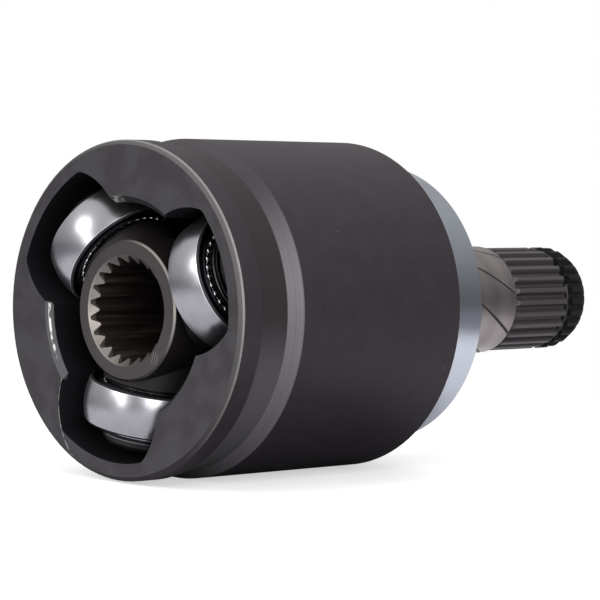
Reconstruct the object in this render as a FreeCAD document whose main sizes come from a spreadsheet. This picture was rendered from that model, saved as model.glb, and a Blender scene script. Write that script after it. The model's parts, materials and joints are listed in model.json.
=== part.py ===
import FreeCAD, Part
import math
import os

import Sketcher
from FreeCAD import Placement, Rotation, Vector

# An inner tripod constant velocity joint, in millimetres. A forged bell with three roller
# tracks carries a splined stub shaft. Inside it a spider holds three barrel rollers on
# full-complement needle bearings. The part's frame has its origin at the joint centre,
# where the three trunnion axes cross, +X along the shaft from the bell's mouth to the stub,
# and +Z up. Each body is drawn in its own frame: the bell from its mouth face, and each
# trunnion's pieces about their own trunnion as +Z.

doc = FreeCAD.newDocument("tripod_joint")

# ---------------------------------------------------------------- driving dimensions

DIMENSIONS = {
    # where the pieces stand
    "mouth_to_centre": (13.8, "mouth face to joint centre at rest"),
    "first_trunnion": (70.0, "turn of the first trunnion from +Z about +X, degrees"),
    "trunnion_count": (3, "trunnions, rollers and tracks"),
    # bell, outside
    "lip_radius": (37.5, "radius of the lip at the mouth"),
    "rim_chamfer": (1.0, "turned chamfer of the rim"),
    "lip_length": (6.3, "mouth face to the back of the lip"),
    "boot_groove_radius": (36.4, "radius of the boot seat"),
    "lip_back_slope": (0.9, "length of the slope behind the lip"),
    "boot_groove_end": (15.0, "mouth face to the end of the boot seat"),
    "shoulder_end": (18.6, "mouth face to the start of the plain cylinder"),
    "bell_radius": (38.0, "radius of the plain cylinder"),
    "bell_length": (69.7, "mouth face to the back edge of the bell"),
    "bell_edge_break": (0.4, "chamfer of the back edge"),
    "back_slope": (1.9, "fall of the back face towards the ring seat"),
    # bell, inside
    "track_clearance": (0.6, "running gap between roller crown and track"),
    "lobe_radius": (33.6, "radius of the outer wall of each track"),
    "lobe_corner": (2.4, "corner radius between track and outer wall"),
    "lobe_inner_reach": (14.0, "depth that each lobe's cut reaches towards the axis"),
    "land_radius": (23.9, "radius of the lands between the tracks"),
    "land_chamfer": (1.35, "turned lead-in chamfer of the lands"),
    "cavity_depth": (58.5, "mouth face to the floor of the tracks"),
    "floor_dish": (2.5, "depth of the turned dish in the floor"),
    "floor_dish_radius": (17.0, "radius of the dish at the floor"),
    # ring behind the bell
    "ring_seat_radius": (29.5, "radius of the ring's seat"),
    "ring_wall": (3.2, "wall of the ring, from its seat outwards"),
    "ring_width": (12.4, "width of the ring"),
    "ring_edge": (0.9, "chamfer of the ring's back edge"),
    "ring_front_edge": (0.4, "chamfer of the ring's front edge"),
    "seat_beyond_ring": (0.6, "how far the ring stands past its seat"),
    # neck and stub shaft
    "neck_radius": (16.0, "radius where the neck's cone meets the shaft's root"),
    "neck_length": (6.0, "length of the cone behind the ring's seat"),
    "root_fillet": (2.8, "fillet between the neck and the journal"),
    "seat_back_width": (5.0, "width of the flat behind the ring's seat"),
    "journal_radius": (13.2, "radius of the journal"),
    "journal_end": (119.3, "mouth face to the end of the journal"),
    "journal_edge": (0.35, "chamfer of the journal's end"),
    "relief_width": (0.9, "width of the relief between journal and spline"),
    "relief_radius": (11.9, "radius of the relief"),
    "spline_radius": (12.75, "outer radius of the stub spline"),
    "spline_root": (11.5, "root radius of the stub spline"),
    "spline_teeth": (26, "teeth of the stub spline"),
    "spline_lead": (0.8, "slope of the teeth's ends at the relief"),
    "tooth_end_chamfer": (0.7, "chamfer of the teeth's ends at the circlip groove"),
    "circlip_groove_setback": (7.6, "end of the stub back to the circlip groove"),
    "circlip_groove_width": (1.6, "width of the circlip groove"),
    "circlip_groove_radius": (10.7, "radius of the circlip groove's floor"),
    "stub_end": (147.5, "mouth face to the end of the stub"),
    "stub_chamfer": (1.15, "fall of the chamfer at the stub's end"),
    "stub_chamfer_length": (2.4, "length of that chamfer along the shaft"),
    "centre_hole_radius": (3.2, "mouth radius of the centre hole"),
    "centre_hole_depth": (5.5, "depth of the centre hole"),
    # oil grooves of the journal
    "oil_groove_count": (8, "helical oil grooves"),
    "oil_groove_cutter": (1.25, "radius of the cutter's round nose"),
    "oil_groove_depth": (0.25, "depth of the oil grooves"),
    "oil_groove_length": (20.5, "length of the grooves along the shaft"),
    "oil_groove_pitch": (132.0, "pitch of the helix"),
    # spider
    "hub_radius": (15.6, "outer radius of the hub"),
    "hub_width": (24.8, "width of the hub"),
    "hub_edge": (0.5, "chamfer of the hub's outer edges"),
    "bore_chamfer": (1.7, "chamfer of the hub's bore"),
    "inner_teeth": (21, "teeth of the hub's spline"),
    "inner_major": (12.0, "root radius of the hub's spline"),
    "inner_minor": (10.6, "tip radius of the hub's spline"),
    "boss_radius": (11.9, "radius of the boss under each trunnion"),
    "trunnion_radius": (9.96, "radius of the trunnions"),
    "trunnion_end": (31.0, "joint centre to the trunnion's end"),
    "trunnion_chamfer": (0.9, "chamfer of the trunnion's end"),
    # rollers and needles
    "pitch_radius": (22.0, "joint centre to the rollers' centres"),
    "crown_radius": (15.4, "radius of the rollers' spherical crown"),
    "roller_width": (9.8, "width of the rollers"),
    "roller_rim_chamfer": (0.45, "chamfer of the rollers' rims"),
    "roller_bore_chamfer": (0.3, "chamfer of the rollers' bores"),
    "side_recess_depth": (0.25, "depth of the recess in each side face"),
    "side_recess_inset": (0.35, "land left inside and outside the recess"),
    "needle_radius": (0.98, "radius of the needles"),
    "needle_play": (0.03, "radial running clearance each side of the needles"),
    "needle_gap": (0.05, "gap between neighbouring needles"),
    "needle_inset": (0.1, "how far the needles end inside the roller's faces"),
    # washers and rings on the trunnions
    "washer_width": (0.8, "thickness of the thrust washers"),
    "washer_gap": (0.05, "end play beside each washer"),
    "washer_bore_play": (0.05, "radial clearance of washers on the trunnion"),
    "washer_wall": (1.05, "radial width of the thrust washers"),
    "snap_ring_width": (1.0, "thickness of the snap rings"),
    "snap_ring_wall": (1.7, "radial width of the snap rings"),
    "snap_groove_depth": (0.8, "depth of the snap ring's groove"),
    "snap_ring_play": (0.05, "clearance of the snap ring in its groove"),
    "snap_ring_opening": (48.0, "opening of the snap rings, degrees"),
    "circlip_wire": (0.7, "wire radius of the stub's circlip"),
    "circlip_opening": (36.0, "opening of the circlip, degrees"),
}

sheet = doc.addObject("Spreadsheet::Sheet", "dims")
for row, (alias, (number, meaning)) in enumerate(DIMENSIONS.items(), start=1):
    sheet.set("A%d" % row, meaning)
    sheet.set("B%d" % row, str(number))
    sheet.setAlias("B%d" % row, alias)
doc.recompute()


class Size:
    """A size that carries its value together with the sheet formula that gives it."""

    def __init__(self, text, value):
        self.text = text
        self.value = value

    def __add__(self, other):
        return join(self, "+", other, self.value + amount(other))

    def __radd__(self, other):
        return join(other, "+", self, amount(other) + self.value)

    def __sub__(self, other):
        return join(self, "-", other, self.value - amount(other))

    def __rsub__(self, other):
        return join(other, "-", self, amount(other) - self.value)

    def __mul__(self, other):
        return join(self, "*", other, self.value * amount(other))

    def __rmul__(self, other):
        return join(other, "*", self, amount(other) * self.value)

    def __truediv__(self, other):
        return join(self, "/", other, self.value / amount(other))

    def __neg__(self):
        return join(0, "-", self, -self.value)


def amount(thing):
    return thing.value if isinstance(thing, Size) else thing


def formula(thing):
    return thing.text if isinstance(thing, Size) else repr(float(thing))


def join(left, sign, right, value):
    return Size("(%s %s %s)" % (formula(left), sign, formula(right)), value)


def root(thing):
    return Size("sqrt(%s)" % thing.text, math.sqrt(thing.value))


class Dimensions:
    """The sheet's cells by their aliases, as sizes."""

    def __getattr__(self, alias):
        return Size("dims.%s" % alias, float(sheet.get(alias)))


d = Dimensions()

# ---------------------------------------------------------------- sketch helpers


def new_body(label):
    body = doc.addObject("PartDesign::Body", label)
    body.Label = label
    return body


def origin_feature(body, role):
    return [part for part in body.Origin.OriginFeatures if part.Role == role][0]


def new_sketch(body, name, role, offset=None):
    sketch = body.newObject("Sketcher::SketchObject", name)
    sketch.AttachmentSupport = (origin_feature(body, role), [""])
    sketch.MapMode = "FlatFace"
    if offset is not None:
        sketch.setExpression("AttachmentOffset.Base.z", formula(offset))
    return sketch


def pin(sketch, geometry, end, axis, place):
    """Hold one coordinate of a point at a sheet formula."""
    rule = Sketcher.Constraint("Distance" + axis, -1, 1, geometry, end, amount(place))
    index = sketch.addConstraint(rule)
    sketch.setExpression("Constraints[%d]" % index, formula(place))


def closed_profile(sketch, path):
    """Draw a closed outline. Each step is (x, y) for a line to that point, or
    (x, y, centre_x, centre_y, turn) for an arc to it, with turn +1 anticlockwise.
    The first step is the start, and says how the outline closes there."""
    ends = []
    for index, step in enumerate(path):
        following = path[(index + 1) % len(path)]
        start = Vector(amount(step[0]), amount(step[1]), 0)
        stop = Vector(amount(following[0]), amount(following[1]), 0)
        if len(following) == 2:
            geometry = sketch.addGeometry(Part.LineSegment(start, stop), False)
            ends.append((geometry, 1, 2, None))
            continue
        centre = Vector(amount(following[2]), amount(following[3]), 0)
        turn = following[4]
        circle = Part.Circle(centre, Vector(0, 0, 1), (stop - centre).Length)
        from_angle = math.atan2(start.y - centre.y, start.x - centre.x)
        to_angle = math.atan2(stop.y - centre.y, stop.x - centre.x)
        if turn < 0:
            from_angle, to_angle = to_angle, from_angle
        if to_angle < from_angle:
            to_angle += 2 * math.pi
        arc = Part.ArcOfCircle(circle, from_angle, to_angle)
        geometry = sketch.addGeometry(arc, False)
        first, last = (1, 2) if turn > 0 else (2, 1)
        ends.append((geometry, first, last, following))
    for index, step in enumerate(path):
        geometry, first, _, _ = ends[index]
        before, _, last, arc_step = ends[index - 1]
        joined = Sketcher.Constraint("Coincident", before, last, geometry, first)
        sketch.addConstraint(joined)
        if arc_step is None:
            pin(sketch, geometry, first, "X", step[0])
            pin(sketch, geometry, first, "Y", step[1])
            continue
        across = abs(amount(step[0]) - amount(arc_step[2]))
        along = abs(amount(step[1]) - amount(arc_step[3]))
        if across > along:
            pin(sketch, geometry, first, "Y", step[1])
        else:
            pin(sketch, geometry, first, "X", step[0])
    for geometry, _, _, arc_step in ends:
        if arc_step is not None:
            pin(sketch, geometry, 3, "X", arc_step[2])
            pin(sketch, geometry, 3, "Y", arc_step[3])


def circle_profile(sketch, x, y, radius):
    centre = Vector(amount(x), amount(y), 0)
    ring = Part.Circle(centre, Vector(0, 0, 1), amount(radius))
    geometry = sketch.addGeometry(ring, False)
    pin(sketch, geometry, 3, "X", x)
    pin(sketch, geometry, 3, "Y", y)
    index = sketch.addConstraint(Sketcher.Constraint("Radius", geometry, amount(radius)))
    sketch.setExpression("Constraints[%d]" % index, formula(radius))


def turned(body, kind, name, sketch, axis, angle=None):
    """Turn a sketch about its own horizontal or vertical axis, all round or by an angle."""
    feature = body.newObject("PartDesign::" + kind, name)
    feature.Profile = sketch
    feature.ReferenceAxis = (sketch, [axis])
    feature.Angle = 360
    if angle is not None:
        feature.setExpression("Angle", formula(angle))
    sketch.Visibility = False
    settle(body, kind == "Revolution")
    return feature


def pocket(body, name, sketch, length, reversed_cut=False):
    feature = body.newObject("PartDesign::Pocket", name)
    feature.Profile = sketch
    feature.Type = 0
    feature.Length = amount(length)
    feature.setExpression("Length", formula(length))
    feature.Reversed = reversed_cut
    settle(body, False)
    return feature


def around_x(body, name, original, count, adds=False):
    """Repeat a feature evenly about the body's X axis."""
    pattern = body.newObject("PartDesign::PolarPattern", name)
    pattern.Originals = [original]
    pattern.Axis = (origin_feature(body, "X_Axis"), [""])
    pattern.Angle = 360
    pattern.Occurrences = int(amount(count))
    pattern.setExpression("Occurrences", formula(count))
    body.Tip = pattern
    settle(body, adds)
    return pattern


volumes = {}


def settle(body, adds):
    """Recompute, and make sure that the last feature changed the solid as it should."""
    before = volumes.get(body.Name, 0.0)
    doc.recompute()
    after = body.Shape.Volume
    grew = after > before
    if grew != adds or after == before:
        raise ValueError("%s: %s changed nothing" % (body.Label, body.Tip.Name))
    volumes[body.Name] = after


# ---------------------------------------------------------------- bell with stub shaft

# Slope of a spline's flanks, and how far a cut starts outside the metal that it cuts.
FLANK = 0.65
OVERCUT = 1.0

track_radius = d.crown_radius + d.track_clearance
ring_start = d.bell_length + d.back_slope
ring_end = ring_start + d.ring_width
seat_end = ring_end - d.seat_beyond_ring
neck_start_radius = d.ring_seat_radius - d.seat_back_width
journal_start = seat_end + d.neck_length + d.root_fillet
ring_radius = d.ring_seat_radius + d.ring_wall
circlip_groove_start = d.stub_end - d.circlip_groove_setback


def make_housing():
    body = new_body("housing")

    # The turned outside of the forging, from the mouth to the end of the stub.
    outline = new_sketch(body, "outside", "XZ_Plane")
    fillet_centre = d.journal_radius + d.root_fillet
    closed_profile(outline, [
        (0, 0),
        (0, d.lip_radius - d.rim_chamfer),
        (d.rim_chamfer, d.lip_radius),
        (d.lip_length, d.lip_radius),
        (d.lip_length + d.lip_back_slope, d.boot_groove_radius),
        (d.boot_groove_end, d.boot_groove_radius),
        (d.shoulder_end, d.bell_radius),
        (d.bell_length - d.bell_edge_break, d.bell_radius),
        (d.bell_length, d.bell_radius - d.bell_edge_break),
        (ring_start, d.ring_seat_radius + d.ring_edge),
        (ring_start, d.ring_seat_radius),
        (seat_end, d.ring_seat_radius),
        (seat_end, neck_start_radius),
        (seat_end + d.neck_length, fillet_centre),
        (journal_start, d.journal_radius, journal_start, fillet_centre, 1),
        (d.journal_end - d.journal_edge, d.journal_radius),
        (d.journal_end, d.journal_radius - d.journal_edge),
        (d.journal_end, d.relief_radius),
        (d.journal_end + d.relief_width, d.relief_radius),
        (d.journal_end + d.relief_width + d.spline_lead, d.spline_radius),
        (d.stub_end - d.stub_chamfer_length, d.spline_radius),
        (d.stub_end, d.spline_radius - d.stub_chamfer),
        (d.stub_end, 0),
    ])
    turned(body, "Revolution", "forging", outline, "H_Axis")

    # The bore between the lands, with a dish turned into its floor.
    bore = new_sketch(body, "land_bore", "XZ_Plane")
    closed_profile(bore, [
        (0, 0),
        (0, d.land_radius + d.land_chamfer),
        (d.land_chamfer, d.land_radius),
        (d.cavity_depth, d.land_radius),
        (d.cavity_depth, d.floor_dish_radius),
        (d.cavity_depth + d.floor_dish, 0),
    ])
    turned(body, "Groove", "cavity", bore, "H_Axis")

    # One roller track: two round sides, an outer wall about the bell's own axis, and
    # rounded corners between them.
    lobe = new_sketch(body, "track_outline", "YZ_Plane")
    foot = root(track_radius * track_radius
                - (d.pitch_radius - d.lobe_inner_reach) * (d.pitch_radius - d.lobe_inner_reach))
    wall_reach = d.lobe_radius - d.lobe_corner
    side_reach = track_radius - d.lobe_corner
    corner_y = (wall_reach * wall_reach - side_reach * side_reach
                + d.pitch_radius * d.pitch_radius) / (2 * d.pitch_radius)
    corner_x = root(wall_reach * wall_reach - corner_y * corner_y)
    side_x = corner_x * track_radius / side_reach
    side_y = d.pitch_radius + (corner_y - d.pitch_radius) * track_radius / side_reach
    wall_x = corner_x * d.lobe_radius / wall_reach
    wall_y = corner_y * d.lobe_radius / wall_reach
    closed_profile(lobe, [
        (-foot, d.lobe_inner_reach, 0, d.pitch_radius, 1),
        (foot, d.lobe_inner_reach),
        (side_x, side_y, 0, d.pitch_radius, 1),
        (wall_x, wall_y, corner_x, corner_y, 1),
        (-wall_x, wall_y, 0, 0, 1),
        (-side_x, side_y, -corner_x, corner_y, 1),
    ])
    track = pocket(body, "track", lobe, d.cavity_depth, reversed_cut=True)
    around_x(body, "tracks", track, d.trunnion_count)

    # One space of the stub spline, cut from the end of the stub to the relief.
    space = new_sketch(body, "spline_space", "YZ_Plane", offset=d.stub_end)
    pitch = (d.spline_radius + d.spline_root) / 2
    half_space = pitch * (math.pi / 2) / d.spline_teeth
    root_half = half_space - (pitch - d.spline_root) * FLANK
    outer = d.spline_radius + OVERCUT
    outer_half = half_space + (outer - pitch) * FLANK
    closed_profile(space, [
        (-root_half, d.spline_root),
        (root_half, d.spline_root),
        (outer_half, outer),
        (-outer_half, outer),
    ])
    spline_length = d.stub_end - d.journal_end
    tooth_space = pocket(body, "tooth_space", space, spline_length)
    around_x(body, "stub_spline", tooth_space, d.spline_teeth)

    # The circlip groove crosses the teeth near the end of the stub, and its front wall is
    # chamfered where the teeth end.
    groove = new_sketch(body, "circlip_groove_outline", "XZ_Plane")
    groove_end = circlip_groove_start + d.circlip_groove_width
    tooth_end = circlip_groove_start - d.tooth_end_chamfer
    closed_profile(groove, [
        (circlip_groove_start, d.circlip_groove_radius),
        (groove_end, d.circlip_groove_radius),
        (groove_end, outer),
        (tooth_end, outer),
        (tooth_end, d.spline_radius),
        (circlip_groove_start, d.spline_radius - d.tooth_end_chamfer),
    ])
    turned(body, "Groove", "circlip_groove", groove, "H_Axis")

    # The centre hole that the stub was turned on.
    hole = new_sketch(body, "centre_hole_outline", "XZ_Plane")
    closed_profile(hole, [
        (d.stub_end - d.centre_hole_depth, 0),
        (d.stub_end, d.centre_hole_radius),
        (d.stub_end, 0),
    ])
    turned(body, "Groove", "centre_hole", hole, "H_Axis")

    # Helical oil grooves run out over the end of the journal.
    nose = new_sketch(body, "oil_groove_nose", "XZ_Plane")
    nose_height = d.journal_radius - d.oil_groove_depth + d.oil_groove_cutter
    circle_profile(nose, d.journal_end - d.oil_groove_length, nose_height, d.oil_groove_cutter)
    helix = body.newObject("PartDesign::SubtractiveHelix", "oil_groove")
    helix.Profile = nose
    helix.ReferenceAxis = (nose, ["H_Axis"])
    helix.Mode = "pitch-height-angle"
    helix.setExpression("Pitch", formula(d.oil_groove_pitch))
    helix.setExpression("Height", formula(d.oil_groove_length + d.relief_width))
    helix.LeftHanded = False
    settle(body, False)
    around_x(body, "oil_grooves", helix, d.oil_groove_count)
    return body


def make_dust_ring():
    body = new_body("dust_ring")
    outline = new_sketch(body, "section", "XZ_Plane")
    closed_profile(outline, [
        (ring_start, d.ring_seat_radius),
        (ring_start, ring_radius - d.ring_front_edge),
        (ring_start + d.ring_front_edge, ring_radius),
        (ring_end - d.ring_edge, ring_radius),
        (ring_end, ring_radius - d.ring_edge),
        (ring_end, d.ring_seat_radius),
    ])
    turned(body, "Revolution", "turned_ring", outline, "H_Axis")
    return body


def make_stub_circlip():
    """A round wire ring, open on one side, sprung into the stub's groove."""
    body = new_body("stub_circlip")
    wire = new_sketch(body, "wire", "XZ_Plane")
    middle = circlip_groove_start + d.circlip_groove_width / 2
    ring_line = d.circlip_groove_radius + d.circlip_wire + d.snap_ring_play
    circle_profile(wire, middle, ring_line, d.circlip_wire)
    turned(body, "Revolution", "open_ring", wire, "H_Axis", 360 - d.circlip_opening)
    return body


# ---------------------------------------------------------------- spider

roller_inner_face = d.pitch_radius - d.roller_width / 2
roller_outer_face = d.pitch_radius + d.roller_width / 2
trunnion_seat = roller_inner_face - d.washer_gap - d.washer_width
outer_washer_start = roller_outer_face + d.washer_gap
snap_ring_start = outer_washer_start + d.washer_width + d.washer_gap
snap_ring_end = snap_ring_start + d.snap_ring_width
snap_groove_floor = d.trunnion_radius - d.snap_groove_depth


def make_spider():
    body = new_body("spider")

    # The hub, turned about the shaft's axis.
    hub = new_sketch(body, "hub_section", "XZ_Plane")
    half_width = d.hub_width / 2
    closed_profile(hub, [
        (-half_width, 0),
        (half_width, 0),
        (half_width, d.hub_radius - d.hub_edge),
        (half_width - d.hub_edge, d.hub_radius),
        (d.hub_edge - half_width, d.hub_radius),
        (-half_width, d.hub_radius - d.hub_edge),
    ])
    turned(body, "Revolution", "hub", hub, "H_Axis")

    # One trunnion on its boss, with the groove of its snap ring.
    pin_section = new_sketch(body, "trunnion_section", "XZ_Plane")
    closed_profile(pin_section, [
        (0, 0),
        (d.boss_radius, 0),
        (d.boss_radius, trunnion_seat),
        (d.trunnion_radius, trunnion_seat),
        (d.trunnion_radius, snap_ring_start - d.snap_ring_play),
        (snap_groove_floor, snap_ring_start - d.snap_ring_play),
        (snap_groove_floor, snap_ring_end + d.snap_ring_play),
        (d.trunnion_radius, snap_ring_end + d.snap_ring_play),
        (d.trunnion_radius, d.trunnion_end - d.trunnion_chamfer),
        (d.trunnion_radius - d.trunnion_chamfer, d.trunnion_end),
        (0, d.trunnion_end),
    ])
    trunnion = turned(body, "Revolution", "trunnion", pin_section, "V_Axis")
    around_x(body, "trunnions", trunnion, d.trunnion_count, adds=True)

    # The bore at the tips of the teeth, chamfered at both faces.
    bore = new_sketch(body, "bore_section", "XZ_Plane")
    closed_profile(bore, [
        (-half_width, 0),
        (half_width, 0),
        (half_width, d.inner_minor + d.bore_chamfer),
        (half_width - d.bore_chamfer, d.inner_minor),
        (d.bore_chamfer - half_width, d.inner_minor),
        (-half_width, d.inner_minor + d.bore_chamfer),
    ])
    turned(body, "Groove", "bore", bore, "H_Axis")

    # One space of the hub's spline, broached from face to face.
    space = new_sketch(body, "broach_space", "YZ_Plane", offset=half_width)
    pitch = (d.inner_major + d.inner_minor) / 2
    half_space = pitch * (math.pi / 2) / d.inner_teeth
    root_half = half_space - (d.inner_major - pitch) * FLANK
    inner = d.inner_minor - OVERCUT
    inner_half = half_space + (pitch - inner) * FLANK
    closed_profile(space, [
        (-inner_half, inner),
        (inner_half, inner),
        (root_half, d.inner_major),
        (-root_half, d.inner_major),
    ])
    tooth_space = pocket(body, "broached_space", space, d.hub_width)
    around_x(body, "hub_spline", tooth_space, d.inner_teeth)
    return body


# ---------------------------------------------------------------- on each trunnion

needle_line = d.trunnion_radius + d.needle_play + d.needle_radius
roller_bore = needle_line + d.needle_radius + d.needle_play
washer_bore = d.trunnion_radius + d.washer_bore_play


def make_washer(label, start):
    """A flat thrust washer about the trunnion's axis."""
    body = new_body(label)
    section = new_sketch(body, "section", "XZ_Plane")
    closed_profile(section, [
        (washer_bore, start),
        (washer_bore + d.washer_wall, start),
        (washer_bore + d.washer_wall, start + d.washer_width),
        (washer_bore, start + d.washer_width),
    ])
    turned(body, "Revolution", "washer", section, "V_Axis")
    return body


def make_snap_ring(label):
    """A flat open ring sprung into the trunnion's groove."""
    body = new_body(label)
    section = new_sketch(body, "section", "XZ_Plane")
    inside = snap_groove_floor + d.snap_ring_play
    closed_profile(section, [
        (inside, snap_ring_start),
        (inside + d.snap_ring_wall, snap_ring_start),
        (inside + d.snap_ring_wall, snap_ring_end),
        (inside, snap_ring_end),
    ])
    turned(body, "Revolution", "open_ring", section, "V_Axis", 360 - d.snap_ring_opening)
    return body


def make_roller(label):
    """A barrel roller with a spherical crown, turned about its trunnion's axis."""
    body = new_body(label)
    section = new_sketch(body, "section", "XZ_Plane")
    half = d.roller_width / 2
    crown_half = half - d.roller_rim_chamfer
    rim = root(d.crown_radius * d.crown_radius - crown_half * crown_half)
    face_outer = rim - d.roller_rim_chamfer
    face_inner = roller_bore + d.roller_bore_chamfer
    recess_outer = face_outer - d.side_recess_inset
    recess_inner = face_inner + d.side_recess_inset
    recess = half - d.side_recess_depth
    middle = d.pitch_radius
    closed_profile(section, [
        (roller_bore, middle - half + d.roller_bore_chamfer),
        (face_inner, middle - half),
        (recess_inner, middle - half),
        (recess_inner + d.side_recess_depth, middle - recess),
        (recess_outer - d.side_recess_depth, middle - recess),
        (recess_outer, middle - half),
        (face_outer, middle - half),
        (rim, middle - crown_half),
        (rim, middle + crown_half, 0, middle, 1),
        (face_outer, middle + half),
        (recess_outer, middle + half),
        (recess_outer - d.side_recess_depth, middle + recess),
        (recess_inner + d.side_recess_depth, middle + recess),
        (recess_inner, middle + half),
        (face_inner, middle + half),
        (roller_bore, middle + half - d.roller_bore_chamfer),
    ])
    turned(body, "Revolution", "barrel", section, "V_Axis")
    return body


def make_needles(label):
    """A full complement of needles, as many as fit side by side round the trunnion."""
    radius = amount(d.needle_radius)
    line = amount(needle_line)
    half_pitch = math.asin((radius + amount(d.needle_gap) / 2) / line)
    count = int(math.pi / half_pitch)
    start = amount(roller_inner_face + d.needle_inset)
    length = amount(d.roller_width - 2 * d.needle_inset)
    needles = []
    for index in range(count):
        turn = 2 * math.pi * index / count
        foot = Vector(line * math.cos(turn), line * math.sin(turn), start)
        needles.append(Part.makeCylinder(radius, length, foot, Vector(0, 0, 1)))
    feature = doc.addObject("Part::Feature", label)
    feature.Label = label
    feature.Shape = Part.makeCompound(needles)
    return feature


# ---------------------------------------------------------------- assembly

first_turn = amount(d.first_trunnion)
trunnions = int(amount(d.trunnion_count))
shaft_axis = Vector(1, 0, 0)


def place(part, forward, turn):
    """Stand a part in the joint's frame: moved along the shaft and turned about it."""
    part.Placement = Placement(Vector(forward, 0, 0), Rotation(shaft_axis, turn))


parts = []
for part in (make_housing(), make_dust_ring(), make_stub_circlip()):
    place(part, -amount(d.mouth_to_centre), first_turn)
    parts.append(part)

spider = make_spider()
place(spider, 0, first_turn)
parts.append(spider)

for number in range(1, trunnions + 1):
    turn = first_turn - (number - 1) * 360 / trunnions
    for part in (
        make_washer("inner_washer_%d" % number, trunnion_seat),
        make_needles("needle_rollers_%d" % number),
        make_roller("roller_%d" % number),
        make_washer("outer_washer_%d" % number, outer_washer_start),
        make_snap_ring("snap_ring_%d" % number),
    ):
        place(part, 0, turn)
        parts.append(part)

# ---------------------------------------------------------------- checks and files

doc.recompute()
for thing in doc.Objects:
    if "Invalid" in thing.State or "Error" in thing.State:
        raise ValueError("%s failed: %s" % (thing.Label, thing.State))
for part in parts:
    if part.Shape.isNull() or not part.Shape.isValid():
        raise ValueError("%s has no sound shape" % part.Label)

os.makedirs("parts", exist_ok=True)
for part in parts:
    part.Shape.exportStep("parts/%s.step" % part.Label)
    print("%-18s %3d solids %10.1f mm3" % (part.Label, len(part.Shape.Solids), part.Shape.Volume))
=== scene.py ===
import json
import math

import bmesh
import bpy
from mathutils import Matrix, Vector


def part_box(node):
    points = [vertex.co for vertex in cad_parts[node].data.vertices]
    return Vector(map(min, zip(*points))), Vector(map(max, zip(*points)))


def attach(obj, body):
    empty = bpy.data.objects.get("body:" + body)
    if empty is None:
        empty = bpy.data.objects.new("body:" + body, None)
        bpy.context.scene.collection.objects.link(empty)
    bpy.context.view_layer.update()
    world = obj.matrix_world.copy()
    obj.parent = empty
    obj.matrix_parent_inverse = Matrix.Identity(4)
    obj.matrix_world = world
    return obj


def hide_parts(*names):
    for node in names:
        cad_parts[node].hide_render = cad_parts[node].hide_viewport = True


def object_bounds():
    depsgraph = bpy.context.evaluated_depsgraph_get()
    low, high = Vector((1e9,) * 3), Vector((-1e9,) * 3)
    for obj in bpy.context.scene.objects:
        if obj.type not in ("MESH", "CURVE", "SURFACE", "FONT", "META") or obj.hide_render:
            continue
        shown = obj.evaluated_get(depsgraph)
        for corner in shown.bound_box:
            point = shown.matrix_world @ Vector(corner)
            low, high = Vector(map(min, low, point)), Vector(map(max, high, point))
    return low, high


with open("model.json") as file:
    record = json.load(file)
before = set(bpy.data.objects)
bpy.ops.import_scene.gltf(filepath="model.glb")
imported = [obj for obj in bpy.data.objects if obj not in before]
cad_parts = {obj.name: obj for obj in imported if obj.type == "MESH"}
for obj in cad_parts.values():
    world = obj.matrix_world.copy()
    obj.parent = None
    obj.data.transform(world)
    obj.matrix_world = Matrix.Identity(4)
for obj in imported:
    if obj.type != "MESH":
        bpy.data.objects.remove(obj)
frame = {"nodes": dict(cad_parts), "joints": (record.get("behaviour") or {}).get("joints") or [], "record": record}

cad_low, cad_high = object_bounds()


# ---------------------------------------------------------------- studio
# A pale table under a graded surround, lit by five soft boxes: one overhead, a round one
# and a small low one in front of the mouth, a wide one on the camera's side and a faint
# one behind the shaft. The table and the surround are white for the camera.

scene = bpy.context.scene
scene.view_settings.view_transform = "Standard"


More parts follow.
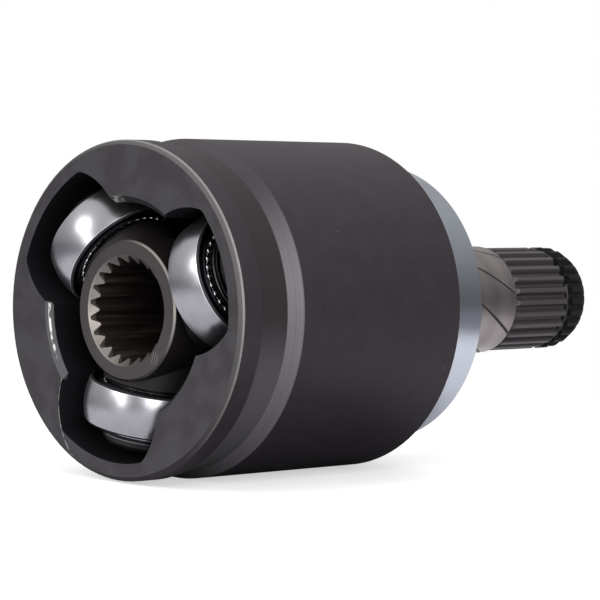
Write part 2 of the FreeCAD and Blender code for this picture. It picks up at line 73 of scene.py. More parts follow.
class Field:
    """A socket of a node tree: sums, products and powers of fields add their Math nodes."""

    def __init__(self, socket):
        self.socket = socket

    def node(self, kind, settings=None, sockets=None, out=0):
        """Any node: its settings first, then the values or links of its sockets."""
        made = self.socket.id_data.nodes.new(kind)
        for name, value in (settings or {}).items():
            setattr(made, name, value)
        for name, value in (sockets or {}).items():
            if isinstance(value, Field):
                self.socket.id_data.links.new(value.socket, made.inputs[name])
            else:
                made.inputs[name].default_value = value
        return Field(made.outputs[out])

    def math(self, operation, *values):
        return self.node("ShaderNodeMath", {"operation": operation}, dict(enumerate(values)))

    def __add__(self, other):
        return self.math("ADD", self, other)

    def __radd__(self, other):
        return self.math("ADD", other, self)

    def __sub__(self, other):
        return self.math("SUBTRACT", self, other)

    def __rsub__(self, other):
        return self.math("SUBTRACT", other, self)

    def __mul__(self, other):
        return self.math("MULTIPLY", self, other)

    def __truediv__(self, other):
        return self.math("DIVIDE", self, other)

    def __pow__(self, other):
        return self.math("POWER", self, other)

    def axes(self):
        """The three parts of a vector field."""
        return [self.node("ShaderNodeSeparateXYZ", {}, {0: self}, out=axis) for axis in "XYZ"]

    def length(self):
        """The length of a vector field."""
        return self.node("ShaderNodeVectorMath", {"operation": "LENGTH"}, {0: self}, out="Value")

    def rise(self, low, high):
        """0 below low, 1 above high, and a smooth step between them."""
        return self.node(
            "ShaderNodeMapRange",
            {"interpolation_type": "SMOOTHSTEP"},
            {"Value": self, "From Min": low, "From Max": high},
        )

    def band(self, low, high, soft):
        """1 from low to high, and 0 outside, with soft edges."""
        return self.rise(low - soft, low + soft) * (1 - self.rise(high - soft, high + soft))

    def paint(self, dark, light):
        """A colour between two colours or colour fields, by this field."""
        return self.node(
            "ShaderNodeMix",
            {"data_type": "RGBA", "clamp_factor": True},
            {0: self, 6: dark, 7: light},
            out=2,
        )

    def noise(self, size, detail=2.0, roughness=0.5, stretch=(1, 1, 1)):
        """Noise of a given grain size over this vector field, from 0 to 1."""
        spread = self.node(
            "ShaderNodeMapping", {"vector_type": "POINT"}, {"Vector": self, "Scale": stretch}
        )
        return self.node(
            "ShaderNodeTexNoise",
            {"noise_dimensions": "3D"},
            {"Vector": spread, "Scale": 1 / size, "Detail": detail, "Roughness": roughness},
        )


def ray_kinds(tree):
    """Which rays are the camera's own, and which come by way of metal or glass."""
    rays = tree.nodes.new("ShaderNodeLightPath")
    seen, glossy, passed = (
        Field(rays.outputs[kind])
        for kind in ("Is Camera Ray", "Is Glossy Ray", "Is Transmission Ray")
    )
    return seen, glossy + passed


HORIZON = 0.08
TOP = 0.60
HORIZON_TO_TOP = (-0.10, 0.95)
MOUTH_SIDE = 0.32
MOUTH_SIDE_HEADING = (0.65, 0.75)
MOUTH_SIDE_FADE = (-0.3, 1.0)
MIRRORED_SHARE = 0.06

world = bpy.data.worlds.new("surround")
scene.world = world
world.use_nodes = True
sky = world.node_tree.nodes["Background"]
seen, mirrored = ray_kinds(world.node_tree)
heading = Field(world.node_tree.nodes.new("ShaderNodeTexCoord").outputs["Generated"])
ahead, aside, height = heading.axes()
tent = height.rise(*HORIZON_TO_TOP) * (TOP - HORIZON) + HORIZON
mouth_side = aside * MOUTH_SIDE_HEADING[1] - ahead * MOUTH_SIDE_HEADING[0]
tent = tent + mouth_side.rise(*MOUTH_SIDE_FADE) * MOUTH_SIDE
white_share = mirrored * MIRRORED_SHARE
strength = seen + white_share + (1 - seen - white_share) * tent
world.node_tree.links.new(strength.socket, sky.inputs["Strength"])
sky.inputs["Color"].default_value = (1, 1, 1, 1)

TABLE_RADIUS = 1.6
TABLE_SIDES = 96
floor_mesh = bpy.data.meshes.new("table")
floor_shape = bmesh.new()
bmesh.ops.create_circle(floor_shape, cap_ends=True, segments=TABLE_SIDES, radius=TABLE_RADIUS)
bmesh.ops.translate(floor_shape, verts=floor_shape.verts, vec=(0, 0, cad_low.z))
floor_shape.to_mesh(floor_mesh)
floor_shape.free()
table = bpy.data.objects.new("table", floor_mesh)
scene.collection.objects.link(table)

BOUNCE_WHITE = (0.07, 0.07, 0.07, 1)
MIRRORED_WHITE = (1.20, 1.20, 1.24, 1)
# Floor colours seen in reflections; the darker ones are painted shade.
MIRRORED_PAINTED_SHADE_BY_MOUTH = (0.75, 0.75, 0.79, 1)
MIRRORED_PAINTED_SHADE = (0.04, 0.04, 0.05, 1)
SEEN_WHITE = (1.80, 1.80, 1.80, 1)
MOUTH_TO_SHAFT = (-0.03, 0.05)
UNDER_FRONT = (-0.012, 0.004)
UNDER_REACH = (0.070, 0.105)
UNDER_PAINTED_SHADOW = 0.85
FAR_REACH = (0.14, 0.24)
FAR_PAINTED_FALLOFF = 0.8
SHADOW_REACH = (0.12, 0.26)
PALE_SHADOW = 0.55

table_finish = bpy.data.materials.new("table_white")
table_finish.use_nodes = True
tree = table_finish.node_tree
tree.nodes.remove(tree.nodes["Principled BSDF"])
place = Field(tree.nodes.new("ShaderNodeTexCoord").outputs["Object"])
seen, mirrored = ray_kinds(tree)
away = place.length()
ahead = place.axes()[0]
# In reflections the floor carries painted shade: darker in front of the mouth, a painted contact shadow under the
# part, and a painted falloff far from it.
mirrored_white = ahead.rise(*MOUTH_TO_SHAFT).paint(MIRRORED_PAINTED_SHADE_BY_MOUTH, MIRRORED_WHITE)
under = ahead.rise(*UNDER_FRONT) * (1 - away.rise(*UNDER_REACH)) * UNDER_PAINTED_SHADOW
mirrored_white = (away.rise(*FAR_REACH) * FAR_PAINTED_FALLOFF + under).paint(mirrored_white, MIRRORED_PAINTED_SHADE)
white = mirrored.paint(seen.paint(BOUNCE_WHITE, SEEN_WHITE), mirrored_white)
lit = place.node("ShaderNodeBsdfDiffuse", {}, {"Color": white})
bright = place.node("ShaderNodeEmission", {}, {"Color": (1, 1, 1, 1), "Strength": 1.0})
washed_out = seen * (away.rise(*SHADOW_REACH) * (1 - PALE_SHADOW) + PALE_SHADOW)
shown = place.node("ShaderNodeMixShader", {}, {0: washed_out, 1: lit, 2: bright})
tree.links.new(shown.socket, tree.nodes["Material Output"].inputs["Surface"])
floor_mesh.materials.append(table_finish)

centre = (cad_low + cad_high) / 2


def soft_box(name, heading, distance, size, power, shape="ELLIPSE"):
    """A soft box in a heading from the middle of the part, facing it."""
    lamp = bpy.data.lights.new(name, "AREA")
    lamp.shape = shape
    lamp.size, lamp.size_y = size
    lamp.energy = power
    made = bpy.data.objects.new(name, lamp)
    made.location = centre + Vector(heading).normalized() * distance
    made.rotation_euler = (-Vector(heading)).to_track_quat("-Z", "Z").to_euler()
    made.visible_camera = False
    scene.collection.objects.link(made)


soft_box("overhead", (0.18, 0.10, 0.97), 1.3, size=(1.3, 1.3), power=5.3, shape="RECTANGLE")
soft_box("front_round", (-0.881, 0.272, 0.386), 0.95, size=(0.24, 0.24), power=2.2)
soft_box("front_low", (-0.98, 0.10, 0.12), 1.0, size=(0.30, 0.20), power=0.8)
soft_box("camera_side", (-0.45, -0.80, 0.30), 1.2, size=(1.4, 1.0), power=11.0)
soft_box("behind", (0.72, 0.63, 0.34), 1.1, size=(0.8, 0.7), power=0.30, shape="RECTANGLE")

CAMERA_PLACE = Vector((-0.4471, -0.4733, 0.0408))
CAMERA_AIM = Vector((0.71773, 0.69389, -0.05807))
CAMERA_UP = Vector((0.02077, 0.06202, 0.99786))
SENSOR_WIDTH = 36.0
FOCAL_LENGTH = 175.8
lens = bpy.data.cameras.new("camera")
lens.sensor_width = SENSOR_WIDTH
lens.lens = FOCAL_LENGTH
camera = bpy.data.objects.new("camera", lens)
side = CAMERA_AIM.cross(CAMERA_UP).normalized()
up = side.cross(CAMERA_AIM).normalized()
turn = Matrix((side, up, -CAMERA_AIM.normalized())).transposed()
camera.matrix_world = Matrix.Translation(CAMERA_PLACE) @ turn.to_4x4()
scene.collection.objects.link(camera)
scene.camera = camera


# ---------------------------------------------------------------- bell and stub shaft
# One forging: phosphated dark outside, and painted darker still in the tracks as painted
# shade, with a turned rim and turned lead-in chamfers on the lands. The stub shaft behind
# it is ground at the journal and cold-rolled at the spline.

MM = 0.001
nodes = frame["nodes"]
mounts = {mount["name"]: mount for mount in frame["record"]["mounts"]}
joints = {joint["name"]: joint for joint in frame["joints"]}
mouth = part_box("housing")[0].x
ring_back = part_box("dust_ring")[1].x
clip_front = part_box("stub_circlip")[0].x


def reach(mount):
    """The start and the end of a mount's length along the shaft, and its radius."""
    middle, half = mount["pos_m"][0], mount["dims"]["length_mm"] * MM / 2
    return middle - half, middle + half, mount["dims"]["r_mm"] * MM


_, journal_end, journal_radius = reach(mounts["stub_journal"])
spline_start, _, spline_radius = reach(mounts["stub_spline"])
seat_start, seat_end, _ = reach(mounts["boot_seat"])


def steel(name, metallic=1.0):
    """A new finish: the material, its shader and the place of each point on the surface."""
    made = bpy.data.materials.new(name)
    made.use_nodes = True
    shader = made.node_tree.nodes["Principled BSDF"]
    shader.inputs["Metallic"].default_value = metallic
    spot = Field(made.node_tree.nodes.new("ShaderNodeTexCoord").outputs["Object"])
    return made, shader, spot


def feed(shader, **fields):
    """Links fields to the shader's sockets of those names."""
    for name, field in fields.items():
        socket = shader.inputs[name.replace("_", " ")]
        shader.id_data.links.new(field.socket, socket)


def shaft_places(spot):
    """Each point's place along the shaft, its two places across it, and its radius."""
    along, across, upward = spot.axes()
    return along, across, upward, (across * across + upward * upward) ** 0.5


def relief(spot, height, depth):
    """A bump of this depth, in metres."""
    return spot.node("ShaderNodeBump", {}, {"Height": height, "Distance": depth, "Strength": 1.0})


def turned_grain(spot, along, radius, pitch):
    """Fine lathe lines: they run round the shaft on cylinders and faces alike."""
    wander = spot.length() * 0.02
    line = spot.node("ShaderNodeCombineXYZ", {}, {0: along, 1: radius, 2: wander})
    return line.noise(pitch, detail=3.0, roughness=0.6)


def facing(across, upward, radius, heading):
    """1 on the side of the shaft that a (y, z) heading points to, and -1 opposite."""
    size = math.hypot(*heading)
    return (across * (heading[0] / size) + upward * (heading[1] / size)) / radius


PHOSPHATE = (0.047, 0.039, 0.046, 1)
PHOSPHATE_PALE = (0.066, 0.056, 0.065, 1)
FLECK_STEEL = (0.12, 0.115, 0.12, 1)
MOUTH_FACE = (0.082, 0.078, 0.085, 1)
TRACK_PAINTED_SHADE = (0.010, 0.010, 0.012, 1)
STEP_TURNED = (0.24, 0.225, 0.24, 1)
SEAT_DARK = (0.046, 0.041, 0.045, 1)
SEAT_PAINTED_REFLECTION = (0.17, 0.16, 0.17, 1)
RIM_STEEL = (0.30, 0.295, 0.29, 1)
LAND_STEEL = (0.125, 0.125, 0.132, 1)
LAND_BRIGHT = (0.80, 0.80, 0.78, 1)
JOURNAL_STEEL = (0.32, 0.285, 0.285, 1)
JOURNAL_REFLECTION_BAND = (0.22, 0.195, 0.197, 1)
OIL_GROOVE = (0.060, 0.052, 0.052, 1)
SPLINE_STEEL = (0.088, 0.079, 0.086, 1)
SPLINE_CREST_HIGHLIGHT = (0.120, 0.110, 0.116, 1)
COLLAR_DARK = (0.026, 0.025, 0.027, 1)

MOTTLE_SIZE = 5 * MM
GRAIN_SIZE = 0.32 * MM
FLECK_SIZE = 1.3 * MM
LATHE_PITCH = 0.35 * MM
RAGGED_SIZE = 0.7 * MM
SWIRL_SIZE = 7 * MM
REFLECTION_BAND_PITCH = 1.1 * MM
OUTSIDE_FROM, OUTSIDE_FULL = 35.2 * MM, 35.8 * MM
FACE_FULL, FACE_END = 0.03 * MM, 0.10 * MM
TRACK_DEPTH = 62.0 * MM
TRACK_CENTRE = 22.0 * MM
TRACK_RADIUS = 16.0 * MM
TRACK_EDGE = 0.16 * MM
RIM_WIDTH = 1.0 * MM
RIM_INNER, RIM_FULL = 36.4 * MM, 36.6 * MM
RIM_LINE_INNER, RIM_LINE_FULL = 37.05 * MM, 37.3 * MM
SEAT_LEAD = 0.9 * MM
STEP_WIDTH = 3.6 * MM
LAND_CHAMFER = 1.35 * MM
LAND_OUTER = 25.3 * MM
STREAK_INNER, STREAK_OUTER = 24.4 * MM, 24.75 * MM
STREAK_LOW_END = (-13 * MM, -9 * MM)
GLINT_HEIGHT = (20 * MM, 21 * MM)
GLINT_SIDE = (0, 3 * MM)
LOBE_EDGE_SIDE = (9 * MM, 12 * MM)
TOOTH_LEAD = 0.6 * MM
TOOTH_DEPTH = 0.45 * MM
GROOVE_DEPTH = 0.09 * MM
COLLAR_LEAD = 0.5 * MM
BELL_RELIEF = 0.010 * MM
DULL_SPECULAR = 0.12

forging, shader, spot = steel("phosphated_forging")
shader.inputs["Specular IOR Level"].default_value = DULL_SPECULAR
along, across, upward, radius = shaft_places(spot)
mottle = spot.noise(MOTTLE_SIZE, detail=4.0)
grain = spot.noise(GRAIN_SIZE, detail=2.0, roughness=0.7)
fleck = spot.noise(FLECK_SIZE, detail=1.0).rise(0.80, 0.84)
lathe = turned_grain(spot, along, radius, LATHE_PITCH)
ragged = spot.noise(RAGGED_SIZE, detail=3.0, stretch=(1, 1, 0.35))
swirl = (spot.noise(SWIRL_SIZE, detail=4.0) * 0.8 + lathe * 0.2).rise(0.40, 0.64)
skin = (mottle * 0.35 + grain * 0.65).rise(0.30, 0.78)

# Where each surface of the bell lies.
outside = radius.rise(OUTSIDE_FROM, OUTSIDE_FULL)
front = 1 - along.rise(mouth + FACE_FULL, mouth + FACE_END)
track_end = mouth + TRACK_DEPTH
inside = (1 - outside) * (1 - front) * (1 - along.rise(track_end, track_end + 1 * MM))
rim = (1 - along.rise(mouth + RIM_WIDTH, mouth + 1.1 * RIM_WIDTH)) * radius.rise(RIM_INNER, RIM_FULL)
rim_line = rim * radius.rise(RIM_LINE_INNER, RIM_LINE_FULL)
seat = along.band(seat_start - SEAT_LEAD, seat_end, 0.1 * MM) * outside
step = along.band(seat_end, seat_end + STEP_WIDTH, 0.15 * MM) * outside
land = 1 - along.rise(mouth + LAND_CHAMFER, mouth + 1.05 * LAND_CHAMFER)
land = land * (1 - radius.rise(LAND_OUTER - 0.1 * MM, LAND_OUTER))

# Which side of the bell the painted highlights and the painted reflection fall on, and
# where the bright streak, the painted glint and the worn lobe edges are.
rim_lit_side = facing(across, upward, radius, (-0.8, 0.6)).rise(-0.2, 0.9)
step_lit_side = facing(across, upward, radius, (-0.88, -0.47)).rise(0.15, 0.85)
underside = facing(across, upward, radius, (-0.5, -0.87)).rise(0.45, 0.95)
land_lit_side = facing(across, upward, radius, (1, -0.3)).rise(0.3, 0.7)
streak = land * radius.band(STREAK_INNER, STREAK_OUTER, 0.08 * MM) * upward.rise(*STREAK_LOW_END)
streak = streak * facing(across, upward, radius, (1, 0)).rise(0.5, 0.7) * ragged.rise(0.40, 0.54)
glint = land * upward.rise(*GLINT_HEIGHT) * across.rise(*GLINT_SIDE) * ragged.rise(0.35, 0.6)
lobe_y, lobe_z = (value * TRACK_CENTRE for value in joints["articulation"]["axis"][1:])
off_y, off_z = across - lobe_y, upward - lobe_z
from_lobe = (off_y * off_y + off_z * off_z) ** 0.5
lobe_edge = front * from_lobe.band(TRACK_RADIUS, TRACK_RADIUS + TRACK_EDGE, 0.05 * MM)
lobe_edge = lobe_edge * across.rise(*LOBE_EDGE_SIDE) * ragged.rise(0.35, 0.6)

# The parts of the stub shaft.
shaft = along.rise(ring_back - 0.2 * MM, ring_back)
toothed = along.rise(spline_start - TOOTH_LEAD, spline_start - 0.5 * TOOTH_LEAD)
crest = radius.rise(spline_radius - TOOTH_DEPTH, spline_radius - 0.08 * MM)
collar = along.rise(clip_front - COLLAR_LEAD, clip_front - 0.6 * COLLAR_LEAD)
oil = 1 - radius.rise(journal_radius - GROOVE_DEPTH, journal_radius - 0.5 * GROOVE_DEPTH)
oil = oil * shaft * (1 - toothed)
# Rings of darker colour along the journal: painted reflection bands.
reflection_wave = along * (1 / REFLECTION_BAND_PITCH) + mottle * 1.5
band = reflection_wave.math("SINE", reflection_wave) * 0.5 + 0.5

colour = skin.paint(PHOSPHATE, PHOSPHATE_PALE)
colour = (fleck * outside * (1 - shaft)).paint(colour, FLECK_STEEL)
colour = (front * (0.30 + swirl * 0.75 + grain * 0.2)).paint(colour, MOUTH_FACE)
# The tracks are painted near black: painted shade in the deep recess.
colour = inside.paint(colour, TRACK_PAINTED_SHADE)
# The seat is painted lighter on its underside: a painted reflection of the floor.
colour = seat.paint(colour, underside.paint(SEAT_DARK, SEAT_PAINTED_REFLECTION))
# The step is turned bare steel, but its light colour is painted mostly on the lower right as a painted highlight.
colour = (step * (0.03 + step_lit_side * (0.4 + lathe * 0.85))).paint(colour, STEP_TURNED)
# The turned rim is worn all round, and is painted brighter on its right side as a painted highlight.
rim_wear_and_highlight = rim * (0.03 + rim_lit_side * 0.25) + rim_line * rim_lit_side * (grain * 1.3)
colour = rim_wear_and_highlight.paint(colour, RIM_STEEL)
# The land chamfers are painted lighter on the left land than on the others: painted light by side.
colour = (land * (0.15 + land_lit_side * (0.5 + grain * 0.5))).paint(colour, LAND_STEEL)
# Worn lobe edges, a ragged bright streak on the upper half of the left land, and a painted highlight (the glint)
# at the left end of the top land.
colour = (streak + glint * 0.5 + lobe_edge * 0.8).paint(colour, LAND_BRIGHT)
colour = shaft.paint(colour, (lathe * 0.4 + band * 0.5).paint(JOURNAL_STEEL, JOURNAL_REFLECTION_BAND))
colour = (oil * (1 - along.rise(journal_end, journal_end + 0.1 * MM))).paint(colour, OIL_GROOVE)
# The tooth crests are painted lighter than the roots: a painted highlight.
colour = toothed.paint(colour, (crest * (0.7 + grain * 0.5)).paint(SPLINE_STEEL, SPLINE_CREST_HIGHLIGHT))
colour = collar.paint(colour, COLLAR_DARK)

smooth = shaft * (1 - toothed) * (1 - oil)
bright = streak + glint + lobe_edge
bare = bright * 0.5 + rim_line * 0.3 + smooth * 0.6 + toothed * 0.2 + 0.30 - inside * 0.2
rough = 0.42 + mottle * 0.06 - smooth * 0.14 + grain * 0.05
feed(
    shader,
    Base_Color=colour,
    Metallic=spot.math("MINIMUM", bare, 1.0),
    Roughness=rough + inside * 0.1 + collar * 0.15 + outside * 0.08,
    Normal=relief(spot, grain * (1 - shaft * 0.8) + lathe * 0.5, BELL_RELIEF),
)
nodes["housing"].material_slots[0].material = forging


# ---------------------------------------------------------------- ring behind the bell
# A zinc-plated steel ring pressed onto the turned seat behind the bell, which guards the
# gearbox seal from dirt. Bright, with fine turning lines and a dark rear edge.

ZINC = (0.52, 0.55, 0.61, 1)
ZINC_DULL = (0.45, 0.48, 0.54, 1)
REAR_EDGE_DARK = (0.20, 0.21, 0.23, 1)
REAR_EDGE, REAR_EDGE_FULL = 1.1 * MM, 0.7 * MM
zinc, shader, spot = steel("zinc_plate")
along, _, _, radius = shaft_places(spot)
lathe = turned_grain(spot, along, radius, 0.25 * MM)
cloud = spot.noise(6 * MM, detail=2.0)
edge = along.rise(ring_back - REAR_EDGE, ring_back - REAR_EDGE_FULL)
feed(
    shader,
    Base_Color=edge.paint(cloud.paint(ZINC, ZINC_DULL), REAR_EDGE_DARK),
    Roughness=0.17 + cloud * 0.05 + lathe * 0.05,
    Normal=relief(spot, lathe, 0.0012 * MM),
)
nodes["dust_ring"].material_slots[0].material = zinc


# ---------------------------------------------------------------- spider
# The forged and machined hub with its three trunnions. The hub's faces are turned, the
# inner spline is broached, and the forged skin between the bosses stays dark.

HUB_FACE = (0.088, 0.078, 0.079, 1)
HUB_FACE_LIGHT = (0.120, 0.107, 0.107, 1)
HUB_EDGE = (0.60, 0.57, 0.53, 1)
FORGED_SKIN = (0.010, 0.008, 0.008, 1)
FORGED_SKIN_LIGHT = (0.020, 0.016, 0.015, 1)
TOOTH_END = (0.16, 0.145, 0.138, 1)
TOOTH_END_LIT = (0.34, 0.31, 0.285, 1)
BROACHED = (0.020, 0.015, 0.013, 1)
BROACHED_STREAK = (0.075, 0.058, 0.048, 1)
BORE_EDGE = 12.3 * MM
BORE_CHAMFER = 1.7 * MM
HUB_CHAMFER = 0.5 * MM
HUB_RADIUS = 15.6 * MM
SCRATCH_PITCH = 0.75 * MM
SCRATCH_SLANT = 0.22
SCRATCH_ACROSS = (-10.6 * MM, -8.6 * MM)
SCRATCH_UPWARD = (-11.2 * MM, -8.4 * MM)
hub_half = mounts["hub_spline"]["dims"]["length_mm"] * MM / 2 + BORE_CHAMFER

hub_steel, shader, spot = steel("spider_steel")
along, across, upward, radius = shaft_places(spot)
lathe = turned_grain(spot, along, radius, 0.22 * MM)
grain = spot.noise(0.35 * MM, detail=2.0, roughness=0.7)
mottle = spot.noise(3 * MM, detail=3.0)
drawn = spot.noise(0.9 * MM, detail=3.0, stretch=(0.06, 1, 1))
end = along.math("ABSOLUTE", along)
left = facing(across, upward, radius, (1, -0.25)).rise(0.1, 0.95)
hub_edge_lit_side = facing(across, upward, radius, (-0.85, 0.5)).rise(0.3, 0.95)
in_hub = 1 - radius.rise(HUB_RADIUS + 0.02 * MM, HUB_RADIUS + 0.06 * MM)
face = end.rise(hub_half - 0.10 * MM, hub_half - 0.04 * MM)
face = face * radius.rise(BORE_EDGE - 0.1 * MM, BORE_EDGE)
edge = end.rise(hub_half - HUB_CHAMFER, hub_half - 0.8 * HUB_CHAMFER)
edge = edge * radius.rise(HUB_RADIUS - HUB_CHAMFER, HUB_RADIUS - 0.8 * HUB_CHAMFER) * in_hub
bore = 1 - radius.rise(BORE_EDGE - 0.05 * MM, BORE_EDGE)
tooth_end = bore * end.rise(hub_half - BORE_CHAMFER - 0.1 * MM, hub_half - BORE_CHAMFER)
inner_line = face * (1 - radius.rise(BORE_EDGE + 0.12 * MM, BORE_EDGE + 0.25 * MM)) * left
slant = (across + upward * SCRATCH_SLANT) * (2 * math.pi / SCRATCH_PITCH)
scratch = face * slant.math("SINE", slant).rise(0.72, 0.95) * across.band(*SCRATCH_ACROSS, 0.1 * MM)
scratch = scratch * upward.band(*SCRATCH_UPWARD, 0.5 * MM)
colour = (mottle * 0.6 + grain * 0.4).paint(FORGED_SKIN, FORGED_SKIN_LIGHT)
colour = bore.paint(colour, drawn.rise(0.45, 0.75).paint(BROACHED, BROACHED_STREAK))
colour = face.paint(colour, (lathe * 0.6 + mottle * 0.4).paint(HUB_FACE, HUB_FACE_LIGHT))
# The broached tooth ends are painted lighter on the left side: painted light by side.
colour = tooth_end.paint(colour, (left * (0.5 + grain * 0.7)).paint(TOOTH_END, TOOTH_END_LIT))
# The hub's chamfered edge carries a painted highlight, brightest on the upper right, and the bore edge a painted
# highlight line on the left; the slanted lines are real scratches.
edge_highlight_and_scratches = edge * (0.10 + hub_edge_lit_side * 0.5) + inner_line * 0.7 + scratch * 0.45
colour = edge_highlight_and_scratches.paint(colour, HUB_EDGE)
machined = face + edge + tooth_end
machined = machined.math("MINIMUM", machined, 1.0)
feed(
    shader,
    Base_Color=colour,
    Metallic=0.25 + machined * 0.55,
    Roughness=0.50 - machined * 0.12 + grain * 0.06,
    Normal=relief(spot, grain * (1 - face * 0.7) + lathe * face, 0.008 * MM),
)
nodes["spider"].material_slots[0].material = hub_steel


# ---------------------------------------------------------------- rollers
# Ground and polished bearing-steel barrels, each on its own trunnion. The crown is
# polished; the side faces are painted near black as a painted reflection of the dark walls,
# the rim chamfers are painted dark as painted shade, and a painted highlight runs as a
# bright line where crown and chamfer meet.

trunnion_axes = {
    1: Vector(joints["roller_1_spin"]["axis"]),
    2: Vector(joints["roller_2_spin"]["axis"]),
    3: Vector(joints["articulation"]["axis"]),
}


def from_axis(spot, axis):
    """How far each point lies along a trunnion, and how far from its axis."""
    out = spot.node(
        "ShaderNodeVectorMath", {"operation": "DOT_PRODUCT"}, {0: spot, 1: tuple(axis)}, out="Value"
    )
    size = spot.length()
    return out, (size * size - out * out) ** 0.5


def reach_along(node, axis):
    """The near and the far end of a straight round piece on a trunnion, and its radius."""
    low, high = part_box(node)
    outer = high.x
    spread = outer * abs(axis.y)
    signed = [corner.z * math.copysign(1, axis.z) for corner in (low, high)]
    near = (min(signed) + spread) / abs(axis.z)
    far = (max(signed) - spread) / abs(axis.z)
    return near, far, outer


POLISHED = (0.52, 0.51, 0.54, 1)
POLISHED_DULL = (0.40, 0.395, 0.42, 1)
SIDE_PAINTED_SHADE = (0.016, 0.017, 0.022, 1)
CHAMFER_PAINTED_SHADE = (0.045, 0.045, 0.05, 1)
RIM_PAINTED_HIGHLIGHT = (0.80, 0.80, 0.81, 1)
WASHER_GAP = 0.05 * MM
CROWN_TO_CHAMFER = 0.45 * MM
CHAMFER_INNER, CHAMFER_FULL = 14.15 * MM, 14.25 * MM
for number, axis in trunnion_axes.items():
    near = reach_along("inner_washer_%d" % number, axis)[1] + WASHER_GAP
    far = reach_along("outer_washer_%d" % number, axis)[0] - WASHER_GAP
    middle, half = (near + far) / 2, (far - near) / 2
    crown_end = half - CROWN_TO_CHAMFER
    mirror, shader, spot = steel("roller_steel_%d" % number)
    out, radius = from_axis(spot, axis)
    off = (out - middle).math("ABSOLUTE", out - middle)
    on_rim = radius.rise(CHAMFER_INNER, CHAMFER_FULL)
    side = off.rise(crown_end, crown_end + 0.13 * MM) * (1 - on_rim)
    chamfer = off.rise(crown_end - 0.02 * MM, crown_end + 0.05 * MM) * on_rim
    rim = off.band(crown_end - 0.05 * MM, crown_end + 0.05 * MM, 0.03 * MM)
    haze = spot.noise(3.5 * MM, detail=3.0)
    line = spot.node("ShaderNodeCombineXYZ", {}, {0: out, 1: radius, 2: haze * 0.0004})
    ground = line.noise(0.3 * MM, detail=2.0)
    # The rim chamfers are painted dark as painted shade, and a painted highlight line runs where crown and chamfer
    # meet.
    colour = chamfer.paint(haze.paint(POLISHED, POLISHED_DULL), CHAMFER_PAINTED_SHADE)
    colour = rim.paint(colour, RIM_PAINTED_HIGHLIGHT)
    feed(
        shader,
        # The side faces are painted near black: a painted reflection of the dark walls.
        Base_Color=side.paint(colour, SIDE_PAINTED_SHADE),
        Roughness=0.24 + haze * 0.10 + side * 0.12 + chamfer * 0.25,
        Normal=relief(spot, ground, 0.0006 * MM),
    )
    nodes["roller_%d" % number].material_slots[0].material = mirror


# ---------------------------------------------------------------- needles
# A full complement of ground bearing-steel needles with domed ends between each trunnion
# and its roller. They stand loose side by side, held in by the washers.

NEEDLE_STEEL = (0.34, 0.33, 0.32, 1)
NEEDLE_BRIGHT = (0.60, 0.59, 0.58, 1)
NEEDLE_RADIUS = 0.98 * MM
NEEDLE_GAP = 0.05 * MM
DOME = 0.42 * MM
DOME_SHOULDER = (0.62, 0.28)
NEEDLE_SIDES = 10
needle_steel, shader, spot = steel("needle_steel")
wear = spot.noise(0.6 * MM, detail=2.0)
feed(shader, Base_Color=wear.paint(NEEDLE_STEEL, NEEDLE_BRIGHT), Roughness=0.14 + wear * 0.1)


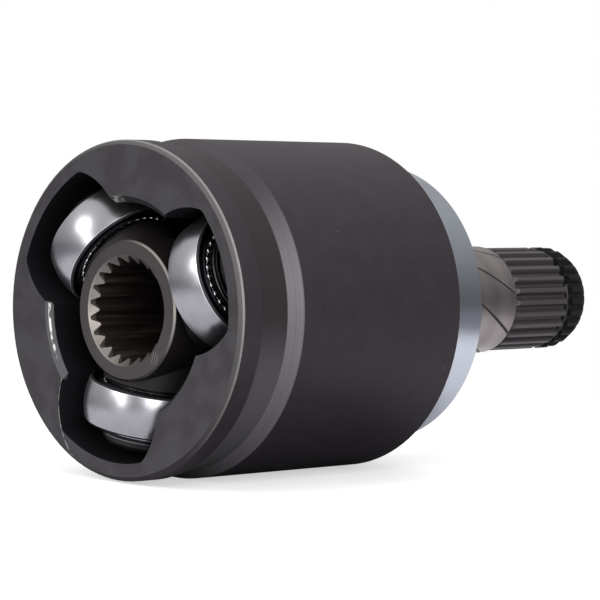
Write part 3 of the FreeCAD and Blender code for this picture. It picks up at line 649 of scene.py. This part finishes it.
def needle_set(name, axis, near, far, line):
    """One needle turned from its outline, repeated round the trunnion."""
    shoulder, rise = NEEDLE_RADIUS * DOME_SHOULDER[0], DOME * DOME_SHOULDER[1]
    shape = bmesh.new()
    outline = [
        shape.verts.new((out, 0, height))
        for out, height in (
            (0, near),
            (shoulder, near + rise),
            (NEEDLE_RADIUS, near + DOME),
            (NEEDLE_RADIUS, far - DOME),
            (shoulder, far - rise),
            (0, far),
        )
    ]
    edges = [shape.edges.new(pair) for pair in zip(outline, outline[1:])]
    bmesh.ops.spin(
        shape, geom=outline + edges, cent=(0, 0, 0), axis=(0, 0, 1), angle=2 * math.pi,
        steps=NEEDLE_SIDES, use_merge=True,
    )
    bmesh.ops.remove_doubles(shape, verts=shape.verts, dist=0.01 * MM)
    bmesh.ops.recalc_face_normals(shape, faces=shape.faces)
    bmesh.ops.translate(shape, verts=shape.verts, vec=(line, 0, 0))
    count = int(math.pi / math.asin((NEEDLE_RADIUS + NEEDLE_GAP / 2) / line))
    bmesh.ops.spin(
        shape, geom=shape.faces, cent=(0, 0, 0), axis=(0, 0, 1), use_duplicate=True,
        angle=2 * math.pi * (count - 1) / count, steps=count - 1,
    )
    turn = Matrix.Rotation(math.atan2(-axis.y, axis.z), 3, "X")
    bmesh.ops.rotate(shape, verts=shape.verts, cent=(0, 0, 0), matrix=turn)
    for surface in shape.faces:
        surface.smooth = True
    mesh = bpy.data.meshes.new(name)
    shape.to_mesh(mesh)
    shape.free()
    mesh.materials.append(needle_steel)
    made = bpy.data.objects.new(name, mesh)
    scene.collection.objects.link(made)
    return made


for number, axis in trunnion_axes.items():
    near, far, outer = reach_along("needle_rollers_%d" % number, axis)
    needles = needle_set("domed_needles_%d" % number, axis, near, far, outer - NEEDLE_RADIUS)
    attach(needles, "needles_%d" % number)
    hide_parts("needle_rollers_%d" % number)


# ---------------------------------------------------------------- washers and snap rings
# Pressed thrust washers each side of the needles, and spring-steel snap rings in their
# grooves. Their faces are dark and their edges are worn bright.

WASHER_FACE = (0.022, 0.022, 0.026, 1)
WASHER_EDGE = (0.50, 0.50, 0.52, 1)
CORNER = 0.13 * MM
for number, axis in trunnion_axes.items():
    for kind in ("inner_washer", "outer_washer", "snap_ring"):
        near, far, outer = reach_along("%s_%d" % (kind, number), axis)
        middle, half = (near + far) / 2, (far - near) / 2
        pressed, shader, spot = steel("%s_steel_%d" % (kind, number))
        out, radius = from_axis(spot, axis)
        off = (out - middle).math("ABSOLUTE", out - middle)
        wear = spot.noise(1.2 * MM, detail=2.0)
        corner = radius.rise(outer - CORNER, outer - 0.5 * CORNER)
        corner = corner * off.rise(half - CORNER, half - 0.5 * CORNER)
        feed(
            shader,
            Base_Color=(corner * (0.5 + wear * 0.6)).paint(WASHER_FACE, WASHER_EDGE),
            Roughness=0.24 + wear * 0.14,
            Normal=relief(spot, wear, 0.004 * MM),
        )
        nodes["%s_%d" % (kind, number)].material_slots[0].material = pressed


# ---------------------------------------------------------------- circlip
# A round spring-steel wire bent to an open ring. It is sprung into the groove near the
# end of the stub's spline, and is dark from its heat treatment.

CLIP_DARK = (0.018, 0.017, 0.018, 1)
CLIP_WORN = (0.045, 0.042, 0.042, 1)
clip_steel, shader, spot = steel("circlip_steel", metallic=0.9)
wear = spot.noise(0.9 * MM, detail=2.0)
feed(
    shader,
    Base_Color=wear.paint(CLIP_DARK, CLIP_WORN),
    Roughness=0.30 + wear * 0.14,
    Normal=relief(spot, wear, 0.004 * MM),
)
nodes["stub_circlip"].material_slots[0].material = clip_steel
